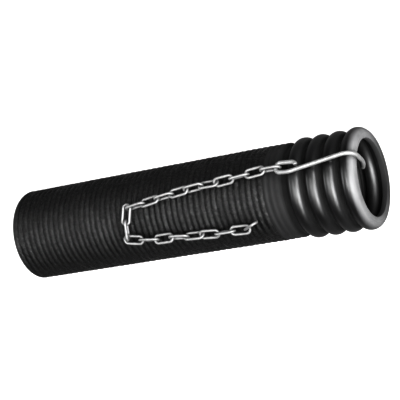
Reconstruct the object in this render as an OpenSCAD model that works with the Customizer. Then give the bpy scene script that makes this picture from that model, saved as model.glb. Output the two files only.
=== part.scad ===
// Tailpipe hose adapter: a short ribbed rubber hose with a flared bellows cuff,
// and a wire hook with a loose link chain that holds the cuff on an exhaust pipe.
//
// Frame: the origin is the centre of the open hose end, +X runs along the hose
// to the flared mouth, and +Z is up. The hose lies on its side with the chain on top.

/* [Hose] */
// Inside diameter of the hose, a 2.5 inch hose
hose_bore_d = 63.5; // [60:0.5:66]
// Thickness of the hose's wall between the ribs
hose_wall = 4.05; // [3.5:0.05:4.5]
// Height of a rib over the wall between the ribs
rib_h = 1.2; // [0.8:0.1:1.4]
// Width of a rib where it meets the wall
rib_w = 3.6; // [3:0.1:4.2]
// Distance from one rib to the next
rib_pitch = 5; // [4.8:0.1:5.4]
// Number of ribs
rib_count = 46; // [44:1:50]

/* [Cuff] */
// Length of the plain hose end that is bonded inside the cuff's sleeve
lap_len = 12; // [9:1:15]
// Thickness of the plain hose end inside the sleeve
lap_wall = 2.25; // [2:0.05:2.5]
// Thickness of the cuff's plain sleeve
sleeve_wall = 2.6; // [2.4:0.1:2.9]
// Length of the sleeve's solid end beyond the lap
sleeve_end_len = 3; // [2.5:0.5:5]
// Length of the plain groove between the sleeve and the first ring
groove_len = 4; // [3:0.5:6]
// Height of a bellows ring over the valleys between the rings
ring_h = 4.4; // [4:0.1:5]
// Distance from one ring to the next
ring_pitch = 14; // [13:0.5:16]
// Number of bellows rings, without the rim
ring_count = 3; // [2:1:4]
// Wall thickness of the cuff
cuff_wall = 3.2; // [2.6:0.1:3.4]
// Radius of the rolled rim, to the middle of its wall
rim_roll_r = 4.8; // [4.4:0.1:5.2]
// How far the cuff's inside stands in from the hose's bore
cuff_step = 0.75; // [0.5:0.05:1]
// How far the mouth's lip stands in from the cuff's inside, to grip the tailpipe
lip_step = 1; // [0.5:0.1:1.5]
// Depth of the flats where the hose lies on a surface
rest_flat = 0.5; // [0.3:0.1:0.8]

/* [Hook] */
// Diameter of the hook's wire
hook_wire_d = 3.5; // [3.2:0.1:3.6]
// Bend radius where the hook turns down over the rim
hook_bend_r = 9.5; // [9:0.5:12]
// Height of the middle of the hook's wire over the cuff at its highest place
hook_rise = 6.2; // [5.5:0.1:9]
// Straight drop in front of the rim
hook_drop = 6.3; // [5.5:0.1:8]
// Radius of the gentle curl at the tip
hook_curl_r = 22; // [18:1:26]
// Angle of the curl at the tip
hook_curl_angle = 35; // [25:1:45]
// Inside width of the eye
eye_in_w = 4.2; // [3.4:0.1:4.4]
// Straight side of the eye
eye_side = 6; // [5:0.5:8]

/* [Chain] */
// Diameter of the chain's wire
link_wire_d = 2.3; // [2:0.1:2.4]
// Inside length of a link
link_in_len = 13.5; // [12.5:0.1:15]
// Inside width of a link
link_in_w = 4; // [3.8:0.1:4.6]
// Slack at each place where two links hold each other
link_slack = 0.35; // [0.3:0.05:0.5]
// Slack at the chain's corners and at its last link, which hang looser
corner_slack = 1; // [0.5:0.1:2]
// Rise of the last link, which leans up off the hose
end_rise = 28; // [15:1:40]
// Gap between the rubber and the metal lying on it
lay_gap = 0.8; // [0.7:0.1:1.2]

/* [Hidden] */
$fn = 48;

// Hose
hose_bore_r = hose_bore_d / 2;
hose_wall_r = hose_bore_r + hose_wall;
hose_crest_r = hose_wall_r + rib_h;
rib_round_r = (rib_w * rib_w / 4 + rib_h * rib_h) / (2 * rib_h);
ribbed_len = rib_count * rib_pitch;
lap_r = hose_bore_r + lap_wall;

// Cuff: the wall's middle line is a row of equal arcs that pass into each other
sleeve_r = lap_r + sleeve_wall;
sleeve_end_x = ribbed_len + lap_len + sleeve_end_len;
cuff_bore_r = hose_bore_r - cuff_step;
valley_r = cuff_bore_r + cuff_wall;
valley_mid_r = cuff_bore_r + cuff_wall / 2;
ring_crest_r = valley_r + ring_h;
wave_angle = 2 * atan(ring_h / (ring_pitch / 2));
wave_r = ring_pitch / 4 / sin(wave_angle);
first_valley_x = sleeve_end_x + groove_len;
last_valley_x = first_valley_x + ring_count * ring_pitch;
flank_mid_r = valley_mid_r + ring_h / 2;
rim_x = last_valley_x + (rim_roll_r + wave_r) * sin(wave_angle);
rim_mid_r = flank_mid_r - rim_roll_r * cos(wave_angle);
rim_out_r = rim_roll_r + cuff_wall / 2;
rim_crest_r = rim_mid_r + rim_out_r;
// The rim's roll goes on inward past the lip, where the mouth's bore trims it
rim_end_angle = -70;
overall_len = rim_x + rim_out_r;
mouth_r = cuff_bore_r - lip_step;

// Hook: its bend and its eye's crown lie this far round the hose from the top
hook_plane = 27;
hook_wire_r = hook_wire_d / 2;
hook_drop_x = overall_len + hook_wire_r + lay_gap;
hook_bend_x = hook_drop_x - hook_bend_r;
hook_crown_r = max(rim_crest_r, ring_crest_r) + hook_rise;
hook_bend_mid_r = hook_crown_r - hook_bend_r;
eye_r = eye_in_w / 2 + hook_wire_r;

// The hook's wire is bars and bends with a ball a hair thicker over each joint,
// so a bar stops just short of the bends that it joins
ball_over = 0.01;
bar_short = 0.05;

// Chain
link_wire_r = link_wire_d / 2;
link_half_w = link_in_w / 2 + link_wire_r;
link_crown = link_in_len / 2 + link_wire_r;
link_lay_r = max(hose_crest_r, sleeve_r) + lay_gap + link_wire_r + link_half_w;
// The eye lies over the groove, with its crown just over the sleeve's end
eye_over = 0.2;
eye_crown_x = sleeve_end_x - eye_over;
first_link_x = eye_crown_x + hook_wire_r + link_wire_r + link_slack - link_crown;

// The eye turns off the shank to one side, so the hook is skewed by what brings the
// eye's crown back over the chain
neck_angle = 14;
neck_r = 10;
crown_along = neck_r * sin(neck_angle) + eye_side * cos(neck_angle)
    + eye_r * (cos(neck_angle) - sin(neck_angle));
crown_aside = neck_r * (1 - cos(neck_angle)) + eye_side * sin(neck_angle)
    + eye_r * (cos(neck_angle) + sin(neck_angle));
hook_reach = hook_bend_x - eye_crown_x;
hook_skew = asin(crown_aside / hook_reach);

// The shank runs straight from the eye, at the chain's height, onto the bend's circle
shank_reach = [sqrt(hook_reach ^ 2 - crown_aside ^ 2), hook_bend_mid_r - link_lay_r];
shank_angle = atan(shank_reach[1] / shank_reach[0]) + asin(hook_bend_r / norm(shank_reach));
shank_len = sqrt(norm(shank_reach) ^ 2 - hook_bend_r ^ 2) - crown_along;
// The eye's other side comes back this much longer and then turns in on the shank
eye_return = 3;
eye_close_angle = 70;

// Way of each link along the hose's surface, in degrees: 0 runs back to the hose end,
// 90 runs round the hose toward -Y, and 180 runs forward to the mouth
link_way = [
    0, 5, 5, 5, 0, 5, 6, 7, 8, 8,
    77, 81, 169, 173, 179, 174, 177, 175, 180, 177, 212
];
// Roll of each link about its own length: 0 lies flat and 90 stands on its edge
link_roll = [
    85, 175, 70, 140, 30, 110, 10, 95, 20, 95,
    0, 75, 170, 55, 150, 40, 105, 175, 65, 160, 70
];
link_count = len(link_way);
// Rise of each link's far end off the hose
link_rise = [for (i = [1 : link_count]) i == link_count ? end_rise : 0];
// The links that hang looser on the one before them
loose_links = [10, 11, 12, 20];

function link_name(i) = str("link_", i < 9 ? "0" : "", i + 1);

// A place is x along the hose, the arc length round it, and the height over its axis
function along(way, rise) =
    [-cos(way) * cos(rise), -sin(way) * cos(rise), sin(rise)];
// Two links hold each other the way the flatter one lies and the steeper one rises
function flatter(i) = abs(sin(link_roll[i])) < abs(sin(link_roll[i - 1])) ? i : i - 1;
function steeper(i) = flatter(i) == i ? i - 1 : i;
function is_loose(i) = len([for (k = loose_links) if (k == i) k]) > 0;
function grip(i) = link_wire_d + (is_loose(i) ? corner_slack : link_slack);
function link_spot(i) =
    i == 0
    ? [first_link_x, hook_plane * PI / 180 * link_lay_r, link_lay_r]
    : link_spot(i - 1)
        + link_crown * along(link_way[i - 1], link_rise[i - 1])
        + link_crown * along(link_way[i], link_rise[i])
        - grip(i) * along(link_way[flatter(i)], link_rise[steeper(i)]);

// Half profiles are drawn with x along the hose and y as the radius
module turned() {
    rotate([0, 90, 0])
        rotate([0, 0, 90])
            rotate_extrude($fn = 96)
                rotate([0, 0, 90])
                    mirror([0, 1, 0])
                        children();
}

// Everything under the surface that the hose lies on, from the rim to the first rib
module under_rest() {
    drop = rim_crest_r - hose_crest_r;
    translate([0, 0, rest_flat - hose_crest_r])
        rotate([0, atan(drop / rim_x), 0])
            translate([-overall_len / 2, -overall_len / 2, -overall_len])
                cube([2 * overall_len, overall_len, overall_len]);
}

module hose_body() {
    color("#26272a")
        difference() {
            turned() {
                translate([0, hose_bore_r])
                    square([ribbed_len, hose_wall_r - hose_bore_r]);
                translate([ribbed_len - rib_pitch / 2, hose_bore_r])
                    square([rib_pitch / 2 + lap_len, lap_r - hose_bore_r]);
                for (i = [0 : rib_count - 1])
                    translate([(i + 0.5) * rib_pitch, hose_crest_r - rib_round_r])
                        circle(rib_round_r);
            }
            under_rest();
        }
}

// A stretch of wall bent round a centre, from one angle to another
module bent_wall(mid_r, from, to) {
    // The sector's corners lie well outside the ring
    reach = 2 * (mid_r + cuff_wall);
    steps = 4;
    intersection() {
        difference() {
            circle(mid_r + cuff_wall / 2);
            circle(mid_r - cuff_wall / 2);
        }
        polygon(concat([[0, 0]], [for (k = [0 : steps])
            reach * [cos(from + (to - from) * k / steps), sin(from + (to - from) * k / steps)]]));
    }
}

module cuff_profile() {
    // Sleeve over the hose end, with its solid end sloping into the groove
    edge = 0.6;
    polygon([
        [ribbed_len, lap_r],
        [ribbed_len + lap_len, lap_r],
        [ribbed_len + lap_len, cuff_bore_r],
        [first_valley_x, cuff_bore_r],
        [first_valley_x, valley_r],
        [sleeve_end_x + edge, valley_r],
        [sleeve_end_x - edge, sleeve_r - edge],
        [sleeve_end_x - 3 * edge, sleeve_r],
        [ribbed_len + edge, sleeve_r],
        [ribbed_len, sleeve_r - edge]
    ]);
    // Valleys; the first is a half that the groove runs into
    for (i = [0 : ring_count])
        translate([first_valley_x + i * ring_pitch, valley_mid_r + wave_r])
            bent_wall(wave_r, 270 - (i > 0 ? wave_angle : 0), 270 + wave_angle);
    // Rings
    for (i = [1 : ring_count])
        translate([first_valley_x + (i - 0.5) * ring_pitch, valley_mid_r + ring_h - wave_r])
            bent_wall(wave_r, 90 - wave_angle, 90 + wave_angle);
    // Rim, rolled over and in to the lip
    translate([rim_x, rim_mid_r])
        bent_wall(rim_roll_r, rim_end_angle, 90 + wave_angle);
}

module flared_cuff() {
    color("#1c1d20")
        difference() {
            turned()
                difference() {
                    cuff_profile();
                    translate([last_valley_x, 0])
                        square([overall_len, mouth_r]);
                }
            under_rest();
        }
}

// A ring-shaped bend of wire in the XY plane, round the origin, from +X through the angle
module ring_bend(wire_r, r, angle) {
    rotate_extrude(angle = angle)
        translate([r, 0])
            circle(wire_r);
}

module joint_ball() {
    sphere(hook_wire_r + ball_over);
    children();
}

// A straight bar along +X, and what follows at its end
module bar(length) {
    translate([bar_short, 0, 0])
        rotate([0, 90, 0])
            cylinder(r = hook_wire_r, h = length - 2 * bar_short);
    translate([length, 0, 0])
        joint_ball()
            children();
}

// A bend in the XY plane that starts along +X and turns to +Y, or to -Y where side is -1
module bend(r, angle, side) {
    mirror([0, side < 0 ? 1 : 0, 0])
        translate([0, r, 0])
            rotate([0, 0, -90]) {
                ring_bend(hook_wire_r, r, angle);
                rotate([0, 0, angle])
                    translate([r, 0, 0])
                        rotate([0, 0, 90])
                            if ($children > 0)
                                joint_ball()
                                    mirror([0, side < 0 ? 1 : 0, 0])
                                        children();
            }
}

// Over the rim, down in front of it and in through the mouth
module hook_front() {
    rotate([90, 0, 0])
        bend(hook_bend_r, 90 + shank_angle, -1)
            bar(hook_drop)
                bend(hook_curl_r, hook_curl_angle, -1);
}

// Back along the hose to the eye, which lies flat and closes on the shank
module hook_back() {
    joint_ball()
        bar(shank_len)
            bend(neck_r, neck_angle, -1)
                bar(eye_side)
                    bend(eye_r, 180, -1)
                        bar(eye_side + eye_return)
                            bend(eye_r, eye_close_angle, -1);
}

module hook() {
    color("#c9ccd0")
        rotate([-hook_plane, 0, 0])
            translate([hook_bend_x, 0, hook_bend_mid_r])
                rotate([0, -shank_angle, hook_skew])
                    translate([0, 0, hook_bend_r]) {
                        hook_front();
                        rotate([0, 0, 180])
                            hook_back();
                    }
}

// One link, lying flat along X with its middle at the origin
module link_wire() {
    side = link_in_len - link_in_w;
    for (end = [0, 180])
        rotate([0, 0, end]) {
            translate([side / 2, 0, 0])
                rotate([0, 0, -90])
                    ring_bend(link_wire_r, link_half_w, 180);
            translate([-side / 2, -link_half_w, 0])
                rotate([0, 90, 0])
                    cylinder(r = link_wire_r, h = side);
        }
}

module chain_link(i) {
    spot = link_spot(i);
    color("#d3d5d8")
        rotate([-spot[1] / link_lay_r * 180 / PI, 0, 0])
            translate([spot[0], 0, spot[2]])
                rotate([0, 0, 180 + link_way[i]])
                    rotate([link_roll[i], -link_rise[i], 0])
                        link_wire();
}

hose_body();
flared_cuff();
hook();
for (i = [0 : link_count - 1])
    chain_link(i);
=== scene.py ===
"""The looks of the tailpipe hose adapter: its rubber hose and cuff, its wire hook and its link chain."""

import math

import bmesh
import bpy
from mathutils import Matrix, Vector


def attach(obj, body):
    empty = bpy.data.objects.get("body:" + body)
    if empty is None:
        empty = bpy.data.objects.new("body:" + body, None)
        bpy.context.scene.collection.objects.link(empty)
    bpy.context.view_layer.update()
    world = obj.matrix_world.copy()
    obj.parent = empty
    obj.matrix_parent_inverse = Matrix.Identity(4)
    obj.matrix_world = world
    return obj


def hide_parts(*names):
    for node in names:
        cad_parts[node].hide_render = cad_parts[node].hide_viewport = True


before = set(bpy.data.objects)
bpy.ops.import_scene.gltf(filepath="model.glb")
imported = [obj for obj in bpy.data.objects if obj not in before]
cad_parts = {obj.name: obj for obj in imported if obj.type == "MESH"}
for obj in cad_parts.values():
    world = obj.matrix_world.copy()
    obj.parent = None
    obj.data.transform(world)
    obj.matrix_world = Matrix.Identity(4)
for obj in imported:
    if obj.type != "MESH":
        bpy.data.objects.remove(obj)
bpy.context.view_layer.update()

MM = 0.001

# ---------------------------------------------------------------- sizes, in mm and degrees, as in the CAD
BORE_R = 31.75
HOSE_WALL = 4.05
RIB_H = 1.2
RIB_PITCH = 5.0
RIB_COUNT = 46
LAP_LEN = 12.0
LAP_WALL = 2.25
REST_FLAT = 0.5

WALL_R = BORE_R + HOSE_WALL
CREST_R = WALL_R + RIB_H
RIBBED_LEN = RIB_COUNT * RIB_PITCH
LAP_R = BORE_R + LAP_WALL
LAP_END_X = RIBBED_LEN + LAP_LEN

SLEEVE_WALL = 2.6
SLEEVE_END_LEN = 3.0
GROOVE_LEN = 4.0
RING_H = 4.4
RING_PITCH = 14.0
RING_COUNT = 3
CUFF_WALL = 3.2
CUFF_STEP = 0.75
RIM_ROLL_R = 4.8
LIP_STEP = 1.0

SLEEVE_R = LAP_R + SLEEVE_WALL
SLEEVE_END_X = LAP_END_X + SLEEVE_END_LEN
CUFF_IN_R = BORE_R - CUFF_STEP
MOUTH_R = CUFF_IN_R - LIP_STEP
VALLEY_R = CUFF_IN_R + CUFF_WALL
VALLEY_MID_R = VALLEY_R - CUFF_WALL / 2
FIRST_VALLEY_X = SLEEVE_END_X + GROOVE_LEN
LAST_VALLEY_X = FIRST_VALLEY_X + RING_COUNT * RING_PITCH
WAVE_ANGLE = math.degrees(2 * math.atan(RING_H / (RING_PITCH / 2)))
WAVE_R = RING_PITCH / 4 / math.sin(math.radians(WAVE_ANGLE))
RIM_X = LAST_VALLEY_X + (RIM_ROLL_R + WAVE_R) * math.sin(math.radians(WAVE_ANGLE))
RIM_MID_R = VALLEY_MID_R + RING_H / 2 - RIM_ROLL_R * math.cos(math.radians(WAVE_ANGLE))
RIM_OUT_R = RIM_ROLL_R + CUFF_WALL / 2
RIM_IN_R = RIM_ROLL_R - CUFF_WALL / 2
OVERALL_LEN = RIM_X + RIM_OUT_R
REST_SLOPE = (RIM_MID_R + RIM_OUT_R - CREST_R) / RIM_X

HOOK_R = 1.75
HOOK_PLANE = 27.0
HOOK_BEND_R = 9.5
HOOK_RISE = 6.2
HOOK_DROP = 6.3
HOOK_CURL_R = 22.0
HOOK_CURL_ANGLE = 35.0
EYE_IN_W = 4.2
EYE_OVER = 0.2
EYE_SIDE = 6.0
EYE_RETURN = 3.0
EYE_CLOSE_ANGLE = 70.0
NECK_ANGLE = 14.0
NECK_R = 10.0
HOOK_CROWN_R = RIM_MID_R + RIM_OUT_R + HOOK_RISE
EYE_R = EYE_IN_W / 2 + HOOK_R
EYE_CROWN_X = SLEEVE_END_X - EYE_OVER

LINK_R = 1.15
LINK_IN_LEN = 13.5
LINK_IN_W = 4.0
LINK_SLACK = 0.35
CORNER_SLACK = 1.0
LOOSE_LINKS = (10, 11, 12, 20)
LAY_GAP = 0.8
LINK_HALF_W = LINK_IN_W / 2 + LINK_R
LINK_CROWN = LINK_IN_LEN / 2 + LINK_R
LINK_LAY_R = CREST_R + LAY_GAP + LINK_R + LINK_HALF_W

# each link's heading over the hose, its roll about its own length and how far it rises off the hose
LINK_WAY = [
    0, 5, 5, 5, 0, 5, 6, 7, 8, 8,
    77, 81, 169, 173, 179, 174, 177, 175, 180, 177, 212,
]
LINK_ROLL = [
    85, 175, 70, 140, 30, 110, 10, 95, 20, 95,
    0, 75, 170, 55, 150, 40, 105, 175, 65, 160, 70,
]
LINK_RISE = [0] * 20 + [28]
LINK_COUNT = len(LINK_WAY)

# ---------------------------------------------------------------- what only the looks have, in mm
# depth of the soft waves between the ribs' crests, and of the ones that run on over the sleeve
RIB_WAVE = 0.95
SLEEVE_WAVE = 0.62
# length of the sleeve's end that has no waves
SLEEVE_PLAIN_END = 2.0
# the cut end's edge is slightly rounded: places along the hose, and steps from the wall's radius
CUT_EDGE = ((0.0, -0.5), (0.12, -0.12), (0.42, 0.08))
# the bore's edge at the cut end, and the places along the bore that have a ring of points
BORE_EDGE = 0.4
BORE_STATIONS = (220.0, 180.0, 140.0, 100.0, 60.0, 30.0, 10.0, 0.5)
# the sleeve's end rounds over, and rounds again into the groove
SLEEVE_ROUND_R = 1.6
SLEEVE_ROUND_LEN = 1.8
GROOVE_ROUND_R = 1.2
# how far the lip's straight land keeps from its edges, and the first cut off its outer edge
LIP_INSET = 0.6
LIP_EDGE = 0.15
# gaps between the cuff and the lap that is bonded in it
BOND_GAP = 0.02
LAP_END_GAP = 0.05
# points of a profile that are closer than this are one
MERGE_DIST = 0.02
# a size is met when it is this close
ROUNDING = 0.01
# the rings' and the hose's unevenness
SWAY = 0.16
SMALL_SWAY = 0.07
RIB_SINK = 0.07
RING_SINK = 0.10
# share of the wire's radius that its cut ends are rounded by, in steps along the wire and off its radius
WIRE_BEVEL = 0.22
BEVEL_STEPS = ((0.0, 1.0), (0.3, 0.3), (1.0, 0.0))
# share of the wire's radius that a link's weld stands proud, and how wide it spreads, in steps squared
WELD_SWELL = 0.07
WELD_SPREAD = 0.8

# how finely things are meshed
HOSE_SEGMENTS = 192
CUFF_SEGMENTS = 224
RIB_STEPS = 12
EDGE_STEPS = 6
TIGHT_STEPS = 8
RING_STEPS = 16
RING_INSIDE_STEPS = 12
RIM_STEPS = 34
RIM_INSIDE_STEPS = 20
HOOK_SIDES = 24
WIRE_STEP = 1.5
WIRE_STEP_ANGLE = 6
LINK_SIDES = 18
LINK_SIDE_STEPS = 8
LINK_CROWN_STEPS = 16
LINK_STEPS = 2 * (LINK_SIDE_STEPS + LINK_CROWN_STEPS)


# ---------------------------------------------------------------- meshes
def new_object(name, mesh, material):
    obj = bpy.data.objects.new(name, mesh)
    bpy.context.scene.collection.objects.link(obj)
    obj.data.materials.append(material)
    return obj


def closed_mesh(name, verts, faces, material):
    """A closed surface whose faces all look outwards."""
    mesh = bpy.data.meshes.new(name)
    mesh.from_pydata(verts, [], faces)
    bm = bmesh.new()
    bm.from_mesh(mesh)
    bmesh.ops.recalc_face_normals(bm, faces=bm.faces)
    bm.to_mesh(mesh)
    bm.free()
    return new_object(name, mesh, material)


def smooth(obj, sharp_deg):
    """Smooth shading that keeps the edges sharper than this angle."""
    mesh = obj.data
    mesh.shade_smooth()
    bm = bmesh.new()
    bm.from_mesh(mesh)
    limit = math.radians(sharp_deg)
    for edge in bm.edges:
        if len(edge.link_faces) == 2:
            edge.smooth = edge.calc_face_angle(0.0) < limit
    bm.to_mesh(mesh)
    bm.free()


def arc(cx, cy, r, start, stop, steps):
    """Points (x, radius) on an arc in a half profile, angles in degrees."""
    out = []
    for k in range(steps + 1):
        a = math.radians(start + (stop - start) * k / steps)
        out.append((cx + r * math.cos(a), cy + r * math.sin(a)))
    return out


def rest_height(x):
    """Height of the surface that the hose lies on, in mm, at this place along the hose."""
    return REST_FLAT - CREST_R - REST_SLOPE * x


def turned(name, profile, material, segments, ripple):
    """A closed profile of (x, radius) points turned round the hose's axis, flat where it rests."""
    verts = []
    faces = []
    n = len(profile)
    for s in range(segments):
        phi = 2 * math.pi * s / segments
        for point in profile:
            x, r = ripple(*point, phi)
            z = max(r * math.cos(phi), rest_height(x))
            verts.append((x * MM, r * math.sin(phi) * MM, z * MM))
    for s in range(segments):
        t = (s + 1) % segments
        for k in range(n):
            m = (k + 1) % n
            faces.append((s * n + k, s * n + m, t * n + m, t * n + k))
    return closed_mesh(name, verts, faces, material)


def wire_frames(points, tangents, closed):
    """At each point its place and two directions across the wire, with as little twist as can be."""
    n = len(points)
    normal = tangents[0].orthogonal().normalized()
    frames = []
    for i in range(n):
        if i:
            normal = tangents[i - 1].rotation_difference(tangents[i]) @ normal
            normal = (normal - tangents[i] * normal.dot(tangents[i])).normalized()
        frames.append((points[i], normal.copy(), tangents[i].cross(normal)))
    if closed:
        # the frame's twist over one round is spread along the wire
        end = tangents[-1].rotation_difference(tangents[0]) @ normal
        miss = math.atan2(end.dot(frames[0][2]), end.dot(frames[0][1]))
        for i, (p, u, v) in enumerate(frames):
            a = -miss * i / n
            frames[i] = (p, u * math.cos(a) + v * math.sin(a), v * math.cos(a) - u * math.sin(a))
    return frames


def rounded_end(place, inward, radius):
    """Three rings for a wire's cut end, from the end's face to where the wire has its full radius."""
    p, u, v = place
    bevel = WIRE_BEVEL * radius
    return [(p + inward * (bevel * inset), u, v, radius - bevel * off) for inset, off in BEVEL_STEPS]


def swept(name, points, radius, material, sides, closed=False, swell=None):
    """A round wire along the points, in mm, with slightly rounded cut ends where it isn't closed."""
    pts = [Vector(p) for p in points]
    n = len(pts)
    if closed:
        tangents = [(pts[(i + 1) % n] - pts[i - 1]).normalized() for i in range(n)]
    else:
        tangents = [(pts[min(i + 1, n - 1)] - pts[max(i - 1, 0)]).normalized() for i in range(n)]
    frames = wire_frames(pts, tangents, closed)
    rings = [(*place, radius * (swell(i / n) if swell else 1.0)) for i, place in enumerate(frames)]
    if not closed:
        first = rounded_end(frames[0], tangents[0], radius)
        last = rounded_end(frames[-1], -tangents[-1], radius)
        rings = first + rings[1:-1] + last[::-1]
    verts = []
    for p, u, v, r in rings:
        for k in range(sides):
            a = 2 * math.pi * k / sides
            verts.append(tuple((p + u * (r * math.cos(a)) + v * (r * math.sin(a))) * MM))
    faces = []
    count = len(rings)
    for i in range(count if closed else count - 1):
        j = (i + 1) % count
        for k in range(sides):
            m = (k + 1) % sides
            faces.append((i * sides + k, i * sides + m, j * sides + m, j * sides + k))
    if not closed:
        faces.append(tuple(range(sides)))
        faces.append(tuple((count - 1) * sides + k for k in range(sides)))
    return closed_mesh(name, verts, faces, material)


# ---------------------------------------------------------------- materials
def grey(level, blue=0.0):
    """A grey, with this much more in its blue."""
    return (level, level, level + blue, 1)


class Nodes:
    """A short way to write a material's nodes. Ranges and steps are in metres."""

    def __init__(self, name):
        self.mat = bpy.data.materials.new(name)
        self.mat.use_nodes = True
        self.tree = self.mat.node_tree
        self.shader = self.tree.nodes["Principled BSDF"]

    def new(self, kind, **settings):
        node = self.tree.nodes.new(kind)
        for key, value in settings.items():
            setattr(node, key, value)
        return node

    def put(self, value, socket):
        if isinstance(value, (int, float, tuple)):
            socket.default_value = value
        else:
            self.tree.links.new(value, socket)

    def shade(self, socket, value):
        self.put(value, self.shader.inputs[socket])

    def math(self, op, a, b=0.0):
        node = self.new("ShaderNodeMath", operation=op)
        self.put(a, node.inputs[0])
        self.put(b, node.inputs[1])
        return node.outputs[0]

    def add(self, a, b):
        return self.math("ADD", a, b)

    def times(self, a, b):
        return self.math("MULTIPLY", a, b)

    def waves(self, value, step):
        """A sine along the value, from one crest to the next in this step."""
        return self.math("SINE", self.times(value, 2 * math.pi / step))

    def place(self):
        return self.new("ShaderNodeTexCoord").outputs["Object"]

    def axes(self, place):
        node = self.new("ShaderNodeSeparateXYZ")
        self.put(place, node.inputs[0])
        return node.outputs

    def vector(self, x, y, z):
        node = self.new("ShaderNodeCombineXYZ")
        for value, socket in zip((x, y, z), node.inputs):
            self.put(value, socket)
        return node.outputs[0]

    def noise(self, place, scale, detail, rough=0.55, distort=0.0):
        node = self.new("ShaderNodeTexNoise")
        self.put(place, node.inputs["Vector"])
        self.put(scale, node.inputs["Scale"])
        self.put(detail, node.inputs["Detail"])
        self.put(rough, node.inputs["Roughness"])
        self.put(distort, node.inputs["Distortion"])
        return node.outputs["Fac"]

    def ramp(self, fac, *stops):
        node = self.new("ShaderNodeValToRGB")
        self.put(fac, node.inputs[0])
        items = node.color_ramp.elements
        while len(items) < len(stops):
            items.new(0.5)
        for item, (at, colour) in zip(items, stops):
            item.position = at
            item.color = colour
        return node.outputs[0]

    def span(self, value, given, wanted):
        """The value, with the given range carried over to the wanted one and held at its ends."""
        node = self.new("ShaderNodeMapRange")
        self.put(value, node.inputs[0])
        for socket, number in zip(node.inputs[1:5], (*given, *wanted)):
            self.put(number, socket)
        return node.outputs[0]

    def mix(self, fac, a, b):
        node = self.new("ShaderNodeMix", data_type="RGBA")
        self.put(fac, node.inputs[0])
        self.put(a, node.inputs[6])
        self.put(b, node.inputs[7])
        return node.outputs[2]

    def bump(self, height, strength, distance, under=None):
        node = self.new("ShaderNodeBump")
        self.put(strength, node.inputs["Strength"])
        self.put(distance, node.inputs["Distance"])
        self.put(height, node.inputs["Height"])
        if under is not None:
            self.put(under, node.inputs["Normal"])
        return node.outputs[0]

    def round_place(self, place, unroll_r):
        """Distance along the hose, length round it when unrolled at this radius in mm, and radius."""
        x, y, z = self.axes(place)
        round_len = self.times(self.math("ARCTAN2", y, z), unroll_r * MM)
        radius = self.math("SQRT", self.add(self.times(y, y), self.times(z, z)))
        return x, round_len, radius


def hose_rubber():
    """Cloth-wrapped hose rubber: dull, near black, with the wrap's weave and dust on it."""
    # a thread every 0.87 mm
    thread_step = 2 * math.pi / 7200
    n = Nodes("hose_rubber")
    place = n.place()
    x, round_len, radius = n.round_place(place, unroll_r=CREST_R)
    skin = n.vector(x, round_len, 0.0)
    # weave left by the cloth wrap, on the slant
    threads = n.times(n.waves(n.add(x, round_len), thread_step),
                      n.waves(n.math("SUBTRACT", x, round_len), thread_step))
    coarse = n.noise(place, scale=60.0, detail=5.0, rough=0.6)
    fine = n.noise(place, scale=430.0, detail=5.0, rough=0.68)
    blotch = n.noise(skin, scale=38.0, detail=6.0, rough=0.62, distort=0.4)
    # some turns of the wrap are smoother than their neighbours
    turns = n.noise(n.vector(x, n.times(round_len, 0.12), 0.0), scale=240.0, detail=3.0, rough=0.6)
    # the crests are rubbed a little lighter than the grooves
    crest = n.span(radius, (WALL_R * MM, CREST_R * MM), (0.0, 1.0))
    base = n.ramp(blotch, (0.25, grey(0.0005)), (0.5, grey(0.001)), (0.78, grey(0.002, 0.0001)))
    rubbed = n.mix(n.times(crest, n.span(coarse, (0.35, 0.7), (0.12, 0.5))), base, grey(0.004, 0.0001))
    rubbed = n.mix(n.math("SUBTRACT", 1.0, crest), rubbed, grey(0.003, 0.0001))
    flecks = n.times(n.span(fine, (0.48, 0.66), (0.0, 0.5)), n.span(turns, (0.4, 0.6), (0.5, 1.0)))
    n.shade("Base Color", n.mix(flecks, rubbed, grey(0.024, -0.0005)))
    rough = n.add(n.span(blotch, (0.25, 0.75), (0.60, 0.46)), n.span(turns, (0.35, 0.65), (0.14, -0.10)))
    n.shade("Roughness", n.add(rough, n.span(fine, (0.40, 0.60), (0.13, -0.09))))
    n.shade("Specular IOR Level", 0.48)
    weave = n.bump(threads, strength=0.35, distance=0.0001)
    grain = n.bump(fine, strength=0.8, distance=0.0012, under=weave)
    n.shade("Normal", n.bump(coarse, strength=0.6, distance=0.0012, under=grain))
    return n.mat


def cut_rubber():
    """The square-cut end of the hose: rubber with the ends of its cloth plies."""
    ply_step = 0.0011
    yarn_step = 0.0009
    n = Nodes("cut_rubber")
    place = n.place()
    _, round_len, radius = n.round_place(place, unroll_r=LAP_R)
    wobble = n.noise(place, scale=140.0, detail=3.0, rough=0.5)
    depth = n.add(radius, n.times(n.math("SUBTRACT", wobble, 0.5), 0.0006))
    plies = n.waves(depth, ply_step)
    ends = n.waves(round_len, yarn_step)
    thread = n.times(n.span(plies, (0.55, 0.95), (0.0, 1.0)), n.span(ends, (-0.2, 0.6), (0.35, 1.0)))
    grain = n.noise(place, scale=1500.0, detail=3.0, rough=0.6)
    rubber = n.ramp(grain, (0.3, grey(0.018, 0.001)), (0.7, grey(0.045, 0.001)))
    n.shade("Base Color", n.mix(n.times(thread, 0.75), rubber, (0.19, 0.175, 0.15, 1)))
    n.shade("Roughness", n.span(grain, (0.3, 0.7), (0.75, 0.92)))
    n.shade("Specular IOR Level", 0.3)
    n.shade("Normal", n.bump(n.add(thread, grain), strength=0.5, distance=0.00018))
    return n.mat


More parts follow.
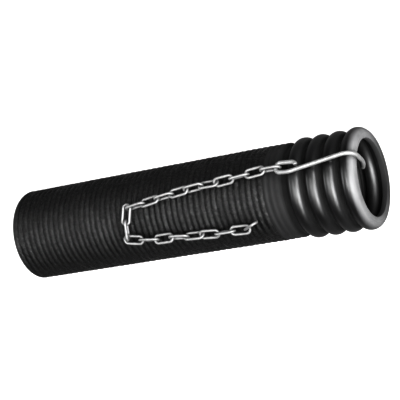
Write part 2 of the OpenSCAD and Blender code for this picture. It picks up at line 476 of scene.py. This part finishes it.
def bore_rubber():
    """The hose's smooth tube inside, with the faint rings of the wire in its wall."""
    n = Nodes("bore_rubber")
    place = n.place()
    rings = n.waves(n.axes(place)[0], RIB_PITCH * MM)
    cloud = n.noise(place, scale=90.0, detail=5.0, rough=0.6)
    n.shade("Base Color", n.ramp(cloud, (0.3, grey(0.010, 0.001)), (0.7, grey(0.026, 0.001))))
    n.shade("Roughness", n.span(cloud, (0.3, 0.7), (0.5, 0.66)))
    n.shade("Specular IOR Level", 0.4)
    soft = n.bump(rings, strength=0.5, distance=0.0006)
    fine = n.noise(place, scale=700.0, detail=3.0)
    n.shade("Normal", n.bump(fine, strength=0.3, distance=0.0001, under=soft))
    return n.mat


def cuff_rubber():
    """Moulded rubber, smoother than the hose, with a soft sheen, scuffs, painted shade in its grooves, and
    painted light inside, on the sleeve and on its grey, worn rim.
    """
    scuff_r = 38.0
    n = Nodes("cuff_rubber")
    place = n.place()
    x, round_len, radius = n.round_place(place, unroll_r=scuff_r)
    cloud = n.noise(place, scale=45.0, detail=5.0, rough=0.6, distort=0.3)
    fine = n.noise(place, scale=1300.0, detail=3.0, rough=0.6)
    # scuffs run round the rings
    drag = n.noise(n.vector(n.times(x, 6.0), round_len, radius), scale=260.0, detail=4.0, rough=0.65)
    scuff = n.span(drag, (0.58, 0.74), (0.0, 1.0))
    base = n.ramp(cloud, (0.28, grey(0.003, 0.0002)), (0.5, grey(0.005, 0.0002)), (0.75, grey(0.008, 0.0003)))
    wear_and_painted_light = n.mix(n.times(scuff, 0.35), base, grey(0.02, 0.0005))
    # the grooves between the rings are painted quite black, a painted shade, and made dull
    outside = n.span(radius, ((VALLEY_R - 0.15) * MM, (VALLEY_R - 0.05) * MM), (0.0, 1.0))
    low = n.span(radius, ((VALLEY_R + 0.4) * MM, (VALLEY_R + 2.6) * MM), (1.0, 0.0))
    groove = n.times(low, outside)
    wear_and_painted_light = n.mix(groove, wear_and_painted_light, grey(0.0012))
    # the inside is painted a lighter grey: painted light, which brightens the glints seen inside the mouth
    wear_and_painted_light = n.mix(outside, grey(0.014, 0.0001), wear_and_painted_light)
    # the sleeve over the hose is dull like the hose's skin, and painted a little lighter: a painted sheen
    sleeve = n.span(x, ((SLEEVE_END_X + 0.2) * MM, (SLEEVE_END_X - 0.8) * MM), (0.0, 1.0))
    wear_and_painted_light = n.mix(sleeve, wear_and_painted_light, grey(0.008, 0.0002))
    # the rim's lip is painted grey: partly wear from the pipes and hands that have held it, partly a painted
    # highlight
    across, above = n.axes(place)[1:]
    rim = n.times(n.span(x, ((RIM_X + 0.5) * MM, (RIM_X + 5.0) * MM), (0.0, 1.0)),
                  n.span(cloud, (0.3, 0.7), (0.75, 1.0)))
    # painted shade: the rim is painted darker towards the bottom and towards the -Y side
    rim = n.times(rim, n.span(above, (-0.030, 0.002), (0.12, 1.0)))
    rim = n.times(rim, n.span(across, (-0.025, 0.025), (0.78, 1.0)))
    n.shade("Base Color", n.mix(rim, wear_and_painted_light, grey(0.108, 0.001)))
    rough = n.add(n.span(cloud, (0.25, 0.75), (0.40, 0.54)), n.times(scuff, 0.12))
    for mask, duller in ((groove, 0.5), (sleeve, 0.3), (rim, 0.36)):
        rough = n.add(rough, n.times(mask, duller))
    n.shade("Roughness", n.add(rough, n.span(outside, (0.0, 1.0), (0.04, 0.0))))
    n.shade("Specular IOR Level", 0.62)
    skin = n.bump(fine, strength=0.25, distance=0.00006)
    n.shade("Normal", n.bump(cloud, strength=0.35, distance=0.0007, under=skin))
    return n.mat


def zinc(name, tone, rough):
    """Zinc-plated wire, with dull patches and dark specks. Its tone is low, as the lights are strong."""
    n = Nodes(name)
    place = n.place()
    patch = n.noise(place, scale=240.0, detail=5.0, rough=0.6, distort=0.5)
    speck = n.noise(place, scale=2100.0, detail=2.0, rough=0.7)
    base = n.ramp(patch, (0.25, grey(0.8 * tone)), (0.55, grey(tone)), (0.8, grey(1.06 * tone)))
    spots = n.span(speck, (0.66, 0.78), (0.0, 0.5))
    n.shade("Base Color", n.mix(spots, base, grey(0.07, 0.001)))
    n.shade("Metallic", 0.2)
    dull = n.span(patch, (0.25, 0.75), (rough - 0.05, rough + 0.1))
    n.shade("Roughness", n.add(dull, n.times(spots, 0.3)))
    n.shade("Normal", n.bump(n.add(patch, n.times(speck, 0.4)), strength=0.3, distance=0.00012))
    return n.mat


def floor_paper():
    """White paper that glows, so that it stays white right up to the hose."""
    n = Nodes("floor_paper")
    n.shade("Base Color", grey(0.04))
    n.shade("Roughness", 0.9)
    n.shade("Emission Color", grey(1.0))
    n.shade("Emission Strength", 0.96)
    return n.mat


HOSE = hose_rubber()
CUT = cut_rubber()
BORE = bore_rubber()
CUFF = cuff_rubber()
HOOK = zinc("hook_zinc", tone=0.118, rough=0.46)
CHAIN = zinc("chain_zinc", tone=0.108, rough=0.5)

for node_name, node_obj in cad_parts.items():
    skin = {"hose_body": HOSE, "flared_cuff": CUFF, "hook": HOOK}.get(node_name, CHAIN)
    node_obj.data.materials.clear()
    node_obj.data.materials.append(skin)


# ---------------------------------------------------------------- hose
def hose_profile():
    """Closed profile of the ribbed hose: out along the ribs, in over the lap, back along the bore."""
    outer = [(x, WALL_R + step) for x, step in CUT_EDGE]
    # the cloth wrap is drawn over the wire's turns, so the ribs run softly into the grooves
    for k in range(2, RIB_COUNT * RIB_STEPS + 1):
        x = k * RIB_PITCH / RIB_STEPS
        outer.append((x, CREST_R - RIB_WAVE * (0.5 + 0.5 * math.cos(2 * math.pi * x / RIB_PITCH))))
    outer += [(RIBBED_LEN, LAP_R), (LAP_END_X, LAP_R)]
    inner = [(LAP_END_X, BORE_R)] + [(x, BORE_R) for x in BORE_STATIONS] + [(0.0, BORE_R + BORE_EDGE)]
    return outer + inner


def hose_ripple(x, r, phi):
    """The wrapped hose's slight unevenness: never proud of the crests, nor inside the bore."""
    if r < WALL_R - ROUNDING or x > RIBBED_LEN - ROUNDING:
        return x, r
    crest = (r - WALL_R) / RIB_H
    sway = SWAY * math.sin(phi + x * 0.031) + SMALL_SWAY * math.sin(3 * phi - x * 0.17)
    sink = RIB_SINK * (1 + math.sin(2 * phi + x * 0.23) * math.cos(5 * phi - x * 0.41))
    return x + sway * crest, r - sink * crest


def dress_hose(obj):
    """The cut end and the bore have rubber of their own."""
    cut_slot, bore_slot = 1, 2
    near = 0.1
    obj.data.materials.append(CUT)
    obj.data.materials.append(BORE)
    for face in obj.data.polygons:
        c = face.center
        if math.hypot(c.y, c.z) < (BORE_R + near) * MM:
            face.material_index = bore_slot
        elif abs(face.normal.x) > 0.9 and c.x < near * MM:
            face.material_index = cut_slot


hose = turned("hose", hose_profile(), HOSE, HOSE_SEGMENTS, hose_ripple)
dress_hose(hose)
smooth(hose, sharp_deg=50)
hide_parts("hose_body")
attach(hose, "hose")


# ---------------------------------------------------------------- cuff
def cuff_profile():
    """Closed profile of the cuff: the outside from the sleeve to the lip, then back along the inside."""
    tight, wide = WAVE_R - CUFF_WALL / 2, WAVE_R + CUFF_WALL / 2
    valley_cy, crest_cy = VALLEY_MID_R + WAVE_R, VALLEY_MID_R + RING_H - WAVE_R
    sleeve_len = SLEEVE_END_X - RIBBED_LEN
    out = [(RIBBED_LEN, CREST_R - RIB_WAVE)]
    # the cloth wrap runs on over the sleeve, with ever lower ribs
    for k in range(3, int((sleeve_len - SLEEVE_PLAIN_END) * RIB_STEPS / RIB_PITCH)):
        x = k * RIB_PITCH / RIB_STEPS
        low = SLEEVE_WAVE * (1 - x / sleeve_len)
        out.append((RIBBED_LEN + x, SLEEVE_R + low * (-0.25 - 0.75 * math.cos(2 * math.pi * x / RIB_PITCH))))
    # the sleeve's end rounds over and runs down into the groove
    out += arc(SLEEVE_END_X - SLEEVE_ROUND_LEN, SLEEVE_R - SLEEVE_ROUND_R, SLEEVE_ROUND_R, 90, 35, EDGE_STEPS)
    out += arc(SLEEVE_END_X + SLEEVE_ROUND_R, VALLEY_R + GROOVE_ROUND_R, GROOVE_ROUND_R, 205, 270, EDGE_STEPS)
    for i in range(RING_COUNT + 1):
        cx = FIRST_VALLEY_X + i * RING_PITCH
        start = 270 if i == 0 else 270 - WAVE_ANGLE
        out += arc(cx, valley_cy, tight, start, 270 + WAVE_ANGLE, TIGHT_STEPS)
        if i < RING_COUNT:
            out += arc(cx + RING_PITCH / 2, crest_cy, wide, 90 + WAVE_ANGLE, 90 - WAVE_ANGLE, RING_STEPS)
    # rim, round to the lip where the mouth trims it
    lip_angle = -math.degrees(math.asin((RIM_MID_R - MOUTH_R) / RIM_OUT_R))
    rim = arc(RIM_X, RIM_MID_R, RIM_OUT_R, 90 + WAVE_ANGLE, lip_angle, RIM_STEPS)
    lip_x, lip_r = rim[-1]
    out += rim[:-1] + [(lip_x - LIP_EDGE, lip_r), (lip_x - LIP_INSET, MOUTH_R)]
    back_angle = -math.degrees(math.asin((RIM_MID_R - MOUTH_R) / RIM_IN_R))
    inside = arc(RIM_X, RIM_MID_R, RIM_IN_R, back_angle, 90 + WAVE_ANGLE, RIM_INSIDE_STEPS)
    out += [(inside[0][0] + LIP_INSET, MOUTH_R)] + inside
    for i in range(RING_COUNT, -1, -1):
        cx = FIRST_VALLEY_X + i * RING_PITCH
        stop = 270 if i == 0 else 270 - WAVE_ANGLE
        out += arc(cx, valley_cy, wide, 270 + WAVE_ANGLE, stop, RING_INSIDE_STEPS)
        if i:
            out += arc(cx - RING_PITCH / 2, crest_cy, tight, 90 - WAVE_ANGLE, 90 + WAVE_ANGLE, TIGHT_STEPS)
    step_x = LAP_END_X + LAP_END_GAP
    out += [(step_x, CUFF_IN_R), (step_x, LAP_R + BOND_GAP), (RIBBED_LEN, LAP_R + BOND_GAP)]
    clean = []
    for p in out:
        if not clean or math.dist(p, clean[-1]) > MERGE_DIST:
            clean.append(p)
    return clean


def cuff_ripple(x, r, phi):
    """Moulded rubber isn't perfectly round: the rings sink a little here and there."""
    if r < VALLEY_R:
        return x, r
    sink = RING_SINK * (1 + math.sin(2 * phi + 0.7 + x * 0.05)) * min(1.0, (r - VALLEY_R) / RING_H)
    return x, r - sink


cuff = turned("cuff", cuff_profile(), CUFF, CUFF_SEGMENTS, cuff_ripple)
smooth(cuff, sharp_deg=45)
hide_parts("flared_cuff")
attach(cuff, "hose")


# ---------------------------------------------------------------- hook
def turn_x(deg):
    return Matrix.Rotation(math.radians(deg), 4, "X")


def turn_y(deg):
    return Matrix.Rotation(math.radians(deg), 4, "Y")


def turn_z(deg):
    return Matrix.Rotation(math.radians(deg), 4, "Z")


class Pen:
    """Draws a wire's middle line as bars and bends from where it stands, heading along its own +X."""

    def __init__(self, at):
        self.at = at.copy()
        self.points = [self.at.translation.copy()]

    def bar(self, length):
        steps = max(1, int(length / WIRE_STEP))
        for _ in range(steps):
            self.at = self.at @ Matrix.Translation((length / steps, 0, 0))
            self.points.append(self.at.translation.copy())

    def bend(self, r, angle, side):
        steps = max(3, int(angle / WIRE_STEP_ANGLE))
        turn = math.radians(angle / steps)
        for _ in range(steps):
            move = Matrix.Translation((r * math.sin(turn), side * r * (1 - math.cos(turn)), 0))
            self.at = self.at @ move @ turn_z(side * angle / steps)
            self.points.append(self.at.translation.copy())


def hook_points():
    """The hook's middle line, from its tip over the bend to the eye that closes on the shank."""
    bend_x = OVERALL_LEN + HOOK_R + LAY_GAP - HOOK_BEND_R
    bend_mid = HOOK_CROWN_R - HOOK_BEND_R
    c, s = math.cos(math.radians(NECK_ANGLE)), math.sin(math.radians(NECK_ANGLE))
    crown_along = NECK_R * s + EYE_SIDE * c + EYE_R * (c - s)
    crown_aside = NECK_R * (1 - c) + EYE_SIDE * s + EYE_R * (c + s)
    hook_reach = bend_x - EYE_CROWN_X
    skew = math.degrees(math.asin(crown_aside / hook_reach))
    reach = Vector((math.sqrt(hook_reach ** 2 - crown_aside ** 2), bend_mid - LINK_LAY_R))
    shank_angle = math.degrees(math.atan2(reach.y, reach.x) + math.asin(HOOK_BEND_R / reach.length))
    shank_len = math.sqrt(reach.length ** 2 - HOOK_BEND_R ** 2) - crown_along
    start = (turn_x(-HOOK_PLANE) @ Matrix.Translation((bend_x, 0, bend_mid))
             @ turn_z(skew) @ turn_y(-shank_angle) @ Matrix.Translation((0, 0, HOOK_BEND_R)))
    front = Pen(start @ turn_x(90))
    front.bend(HOOK_BEND_R, 90 + shank_angle, -1)
    front.bar(HOOK_DROP)
    front.bend(HOOK_CURL_R, HOOK_CURL_ANGLE, -1)
    back = Pen(start @ turn_z(180))
    back.bar(shank_len)
    back.bend(NECK_R, NECK_ANGLE, -1)
    back.bar(EYE_SIDE)
    back.bend(EYE_R, 180, -1)
    back.bar(EYE_SIDE + EYE_RETURN)
    back.bend(EYE_R, EYE_CLOSE_ANGLE, -1)
    return front.points[::-1] + back.points[1:]


hook = swept("wire_hook", hook_points(), HOOK_R, HOOK, HOOK_SIDES)
smooth(hook, sharp_deg=50)
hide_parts("hook")
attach(hook, "hook")


# ---------------------------------------------------------------- chain
def along(way, rise):
    w, e = math.radians(way), math.radians(rise)
    return Vector((-math.cos(w) * math.cos(e), -math.sin(w) * math.cos(e), math.sin(e)))


def link_places():
    """Each link's matrix, by the same walk over the hose's surface as in the CAD source."""
    first_x = EYE_CROWN_X + HOOK_R + LINK_R + LINK_SLACK - LINK_CROWN
    spot = Vector((first_x, math.radians(HOOK_PLANE) * LINK_LAY_R, LINK_LAY_R))
    out = []
    for i in range(LINK_COUNT):
        if i:
            flat, steep = i - 1, i
            if abs(math.sin(math.radians(LINK_ROLL[i]))) < abs(math.sin(math.radians(LINK_ROLL[i - 1]))):
                flat, steep = i, i - 1
            grip = 2 * LINK_R + (CORNER_SLACK if i in LOOSE_LINKS else LINK_SLACK)
            spot = (spot + LINK_CROWN * along(LINK_WAY[i - 1], LINK_RISE[i - 1])
                    + LINK_CROWN * along(LINK_WAY[i], LINK_RISE[i])
                    - grip * along(LINK_WAY[flat], LINK_RISE[steep]))
        out.append(turn_x(math.degrees(-spot.y / LINK_LAY_R)) @ Matrix.Translation((spot.x, 0, spot.z))
                   @ turn_z(180 + LINK_WAY[i]) @ turn_y(-LINK_RISE[i]) @ turn_x(LINK_ROLL[i]))
    return out


def link_points():
    """A link's middle line: side, crown, side, crown."""
    side = (LINK_IN_LEN - LINK_IN_W) / 2
    straight = [side - 2 * side * k / LINK_SIDE_STEPS for k in range(LINK_SIDE_STEPS)]
    out = [(x, LINK_HALF_W, 0) for x in straight]
    out += [(x, y, 0) for x, y in arc(-side, 0, LINK_HALF_W, 90, 270, LINK_CROWN_STEPS)[:-1]]
    out += [(-x, -LINK_HALF_W, 0) for x in straight]
    out += [(x, y, 0) for x, y in arc(side, 0, LINK_HALF_W, -90, 90, LINK_CROWN_STEPS)[:-1]]
    return out


def weld(t):
    """The butt weld in the middle of a link's side: a low bulge. t runs from 0 to 1 round the link."""
    steps_off = t * LINK_STEPS - LINK_SIDE_STEPS / 2
    return 1.0 + WELD_SWELL * math.exp(-steps_off * steps_off / WELD_SPREAD)


for i, place in enumerate(link_places()):
    points = [place @ Vector(p) for p in link_points()]
    ring = swept(f"chain_{i + 1:02d}", points, LINK_R, CHAIN, LINK_SIDES, closed=True, swell=weld)
    smooth(ring, sharp_deg=60)
    node = f"link_{i + 1:02d}"
    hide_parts(node)
    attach(ring, node)


# ---------------------------------------------------------------- floor, light and camera, in metres
FLOOR_HALF = 60
corners = [(-FLOOR_HALF, -FLOOR_HALF, 0), (FLOOR_HALF, -FLOOR_HALF, 0),
           (FLOOR_HALF, FLOOR_HALF, 0), (-FLOOR_HALF, FLOOR_HALF, 0)]
floor_mesh = bpy.data.meshes.new("floor")
floor_mesh.from_pydata(corners, [], [(0, 1, 2, 3)])
floor = new_object("floor", floor_mesh, floor_paper())
tilt = Matrix.Rotation(math.atan(REST_SLOPE), 4, "Y")
floor.matrix_world = Matrix.Translation((0, 0, rest_height(0) * MM)) @ tilt


def turned_frame(right, up, back):
    """The turn of a camera or light that has these directions in the world."""
    return Matrix((right, up, back)).transposed().to_4x4()


def soft_box(name, at, aim, size, watts, upright=(0, 0, 1)):
    """A rectangular light at a place, aimed at another, with its height as near to upright as it goes."""
    light = bpy.data.lights.new(name, "AREA")
    light.shape = "RECTANGLE"
    light.size, light.size_y = size
    light.energy = watts
    obj = bpy.data.objects.new(name, light)
    bpy.context.scene.collection.objects.link(obj)
    back = (Vector(at) - Vector(aim)).normalized()
    across = Vector(upright).cross(back).normalized()
    obj.matrix_world = Matrix.Translation(at) @ turned_frame(across, back.cross(across), back)


# the key's long box lies beside the camera, for the broad highlight on the hose and the rings
soft_box("key", at=(0.820, -0.342, 0.940), aim=(0.27, 0, 0), size=(0.5, 1.15), watts=60,
         upright=(-0.372, 0.772, 0.514))
soft_box("front", at=(1.12, 0.12, 0.70), aim=(0.29, 0, 0), size=(1.5, 0.35), watts=46)
soft_box("top", at=(-0.08, -0.05, 1.05), aim=(0.14, 0, 0), size=(0.7, 0.4), watts=28)
soft_box("fill", at=(-1.05, 0.10, 0.34), aim=(0.10, 0, 0), size=(0.5, 0.3), watts=14)

STUDIO_GLOW = 0.25
world = bpy.data.worlds.new("studio")
world.use_nodes = True
world.node_tree.nodes["Background"].inputs["Color"].default_value = (1, 1, 1, 1)
world.node_tree.nodes["Background"].inputs["Strength"].default_value = STUDIO_GLOW
bpy.context.scene.world = world
bpy.context.scene.view_settings.view_transform = "Standard"
# the photograph's blacks are deep: this draws the dark tones down and leaves the white
DARKENING_GAMMA = 0.45
bpy.context.scene.view_settings.gamma = DARKENING_GAMMA

# the photograph's view: down on the hose from the mouth's side, fitted to the hose's outline
CAMERA_AT = (0.6623, 0.0053, 0.9746)
CAMERA_RIGHT = Vector((0.87491741, -0.17240, -0.45250))
CAMERA_BACK = Vector((0.45941614, 0.0, 0.88822))
camera = bpy.data.cameras.new("camera")
camera.sensor_width = 36.0
camera.lens = 123.97
camera.clip_start = 0.05
view = bpy.data.objects.new("camera", camera)
bpy.context.scene.collection.objects.link(view)
right = (CAMERA_RIGHT - CAMERA_BACK * CAMERA_RIGHT.dot(CAMERA_BACK)).normalized()
back = CAMERA_BACK.normalized()
view.matrix_world = Matrix.Translation(CAMERA_AT) @ turned_frame(right, back.cross(right), back)
bpy.context.scene.camera = view
